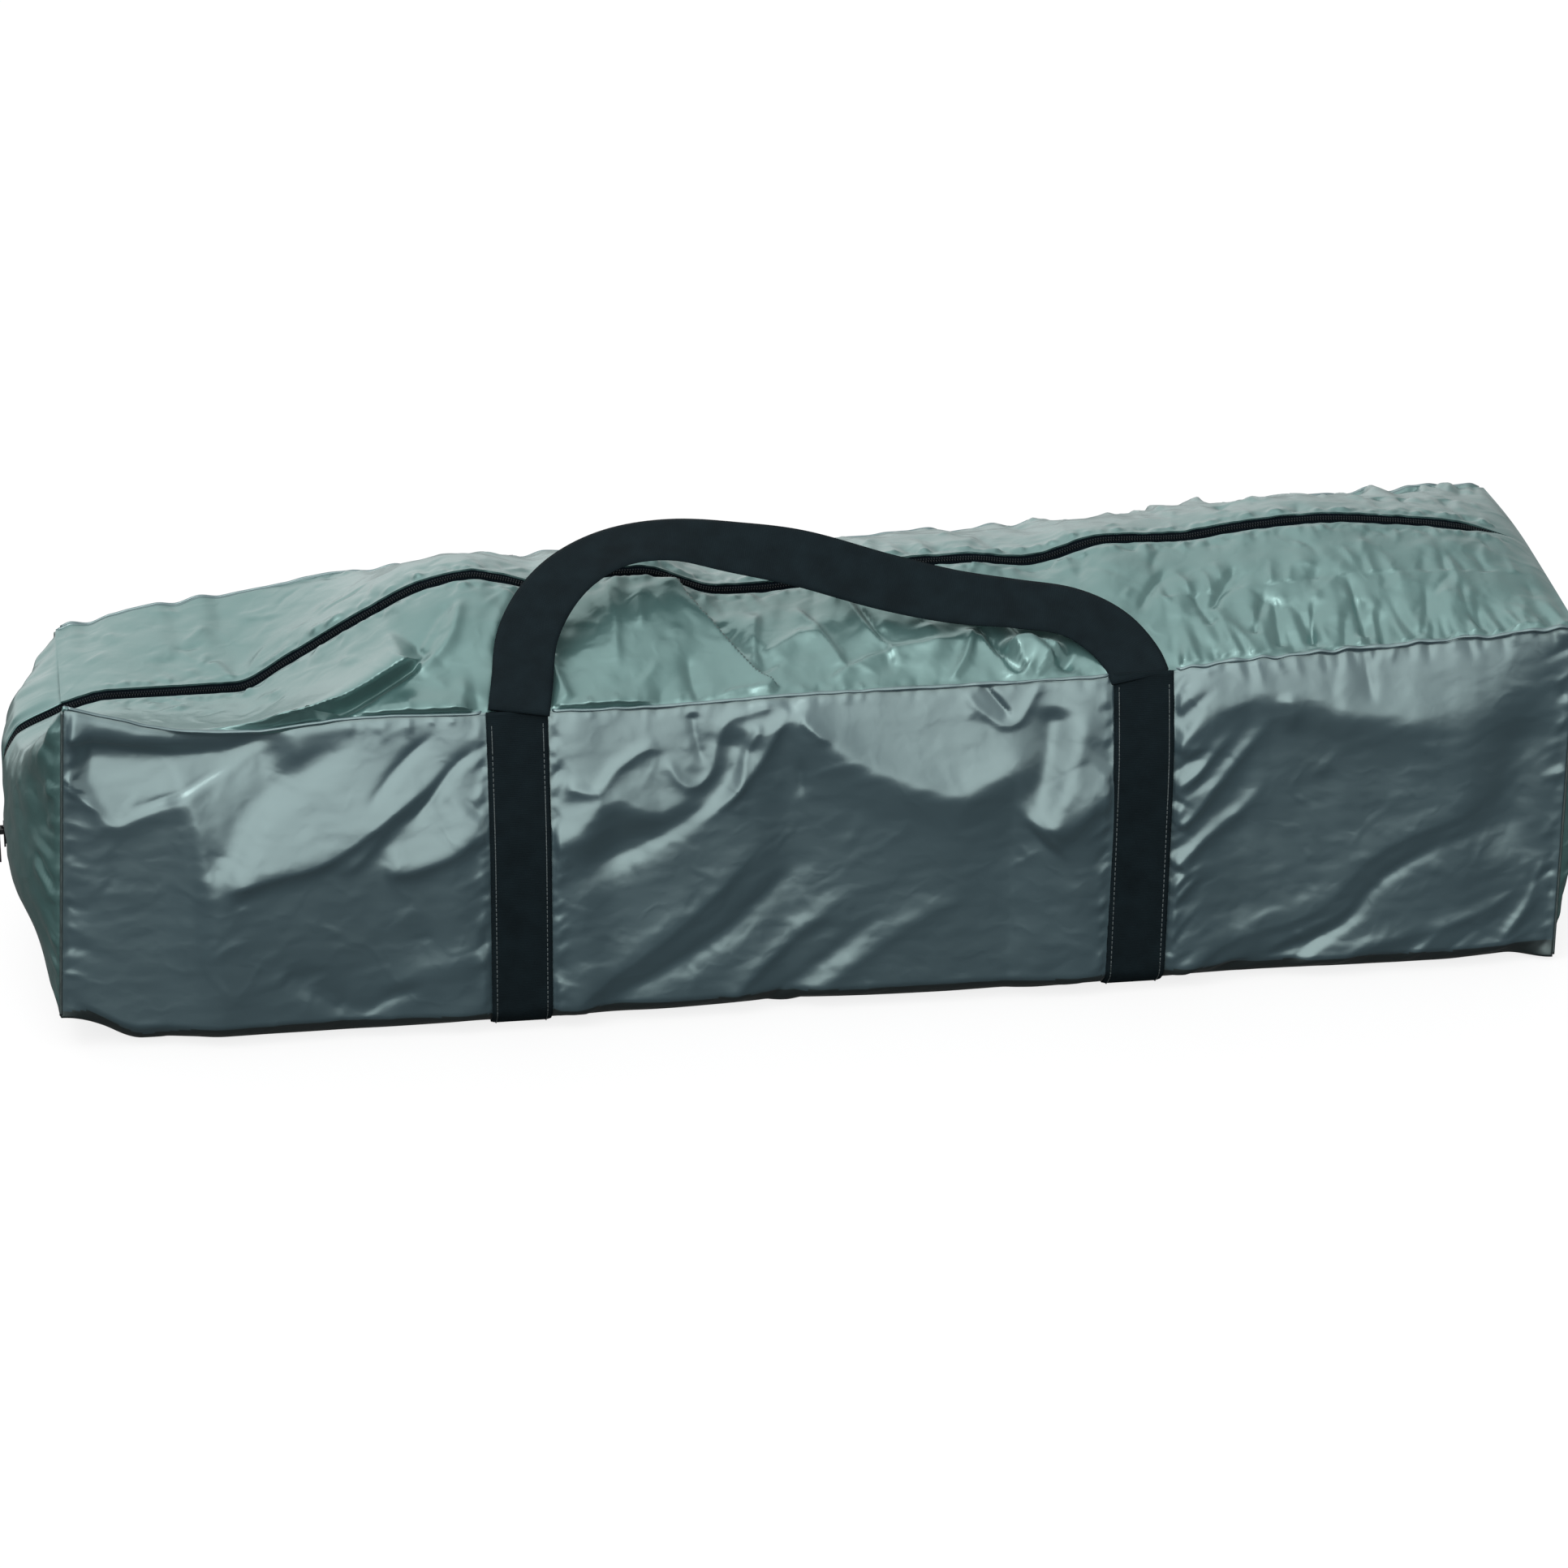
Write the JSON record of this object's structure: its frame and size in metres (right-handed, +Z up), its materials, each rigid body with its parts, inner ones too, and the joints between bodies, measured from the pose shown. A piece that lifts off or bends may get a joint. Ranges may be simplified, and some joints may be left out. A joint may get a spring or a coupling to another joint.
{
  "type": "packed cot tent in its carry bag",
  "caption": "Cot tent packed in a long zipped carry bag with webbing bands and two carry handles; rolled tent, folded poles and pegs inside.",
  "frame": {"origin": "on the floor, under the middle of the bag's base, half way between the two webbing bands and the two long panels", "axes": "+X along the bag to its right end, seen from the front; +Y from the front panel to the rear panel; +Z up"},
  "size_m": [1.014, 0.2657, 0.2957],
  "materials": {
    "bag_fabric": "coated polyester with a soft sheen",
    "top_fabric": "coated polyester with a soft sheen",
    "webbing": "woven polypropylene webbing",
    "zip_tape": "woven tape",
    "zip_coil": "nylon coil",
    "black_metal": "black enamel",
    "packed_cloth": "matt tent cloth",
    "packed_nylon": "coated nylon",
    "strap_webbing": "woven webbing",
    "buckle_plastic": "moulded",
    "fibreglass": "wrapped fibreglass tube",
    "steel": "plated",
    "elastic": "braided shock cord"
  },
  "bodies": {
    "bag": {"bag_base_panel": "bag_fabric", "bag_front_panel": "bag_fabric", "bag_rear_panel": "bag_fabric", "bag_left_end_panel": "bag_fabric", "bag_right_end_panel": "bag_fabric", "front_top_seam": "bag_fabric", "rear_top_seam": "bag_fabric", "top_corner_front_left": "top_fabric", "top_corner_front_right": "top_fabric", "top_corner_rear_left": "top_fabric", "top_corner_rear_right": "top_fabric", "webbing_band_left": "webbing", "webbing_band_right": "webbing", "zip_left_tape_front": "zip_tape", "zip_left_tape_rear": "zip_tape", "zip_right_tape": "zip_tape", "zip_left_coil_front": "zip_coil", "zip_left_coil_rear": "zip_coil", "zip_right_coil": "zip_coil", "zip_left_stop": "black_metal", "zip_right_stop": "black_metal", "tent_body_roll": "packed_cloth", "rainfly_roll": "packed_nylon", "pole_bag": "packed_nylon", "peg_bag": "packed_nylon", "compression_strap_1": "strap_webbing", "compression_strap_2": "strap_webbing", "buckle_socket_1": "buckle_plastic", "buckle_socket_2": "buckle_plastic", "buckle_tongue_1": "buckle_plastic", "buckle_tongue_2": "buckle_plastic", "pole_a_section_1": "fibreglass", "pole_a_section_2": "fibreglass", "pole_a_section_3": "fibreglass", "pole_b_section_1": "fibreglass", "pole_b_section_2": "fibreglass", "pole_b_section_3": "fibreglass", "ferrule_a_1": "steel", "ferrule_a_2": "steel", "ferrule_b_1": "steel", "ferrule_b_2": "steel", "peg_1": "steel", "peg_2": "steel", "peg_3": "steel", "peg_4": "steel", "shock_cord_a": "elastic", "shock_cord_b": "elastic"},
    "front_flap": {"top_front_flap": "top_fabric", "zip_tape_front": "zip_tape", "zip_coil_front": "zip_coil"},
    "front_grip": {"front_handle": "webbing"},
    "rear_flap": {"top_rear_flap": "top_fabric", "zip_tape_rear": "zip_tape", "zip_coil_rear": "zip_coil"},
    "rear_grip": {"rear_handle": "webbing"},
    "slider": {"zip_slider": "black_metal"},
    "pull": {"zip_pull": "black_metal"}
  },
  "joints": [
    {"name": "front_flap_hinge", "type": "hinge", "parent": "bag", "child": "front_flap", "pos_m": [0, -0.1195, 0.219], "axis": [1, 0, 0], "range_deg": [0, 125]},
    {"name": "front_handle_swing", "type": "hinge", "parent": "front_flap", "child": "front_grip", "pos_m": [0, -0.1195, 0.219], "axis": [-1, 0, 0], "range_deg": [-214, 0]},
    {"name": "rear_flap_hinge", "type": "hinge", "parent": "bag", "child": "rear_flap", "pos_m": [0, 0.1195, 0.219], "axis": [-1, 0, 0], "range_deg": [0, 125]},
    {"name": "rear_handle_swing", "type": "hinge", "parent": "bag", "child": "rear_grip", "pos_m": [0, 0.1195, 0.219], "axis": [1, 0, 0], "range_deg": [0, 208]},
    {"name": "zip_slider_travel", "type": "slide", "parent": "bag", "child": "slider", "axis": [0, 0, 1], "range_m": [0, 0.045]},
    {"name": "zip_pull_swing", "type": "hinge", "parent": "slider", "child": "pull", "pos_m": [-0.5123, 0, 0.0981], "axis": [0, 1, 0], "range_deg": [0, 170]}
  ]
}
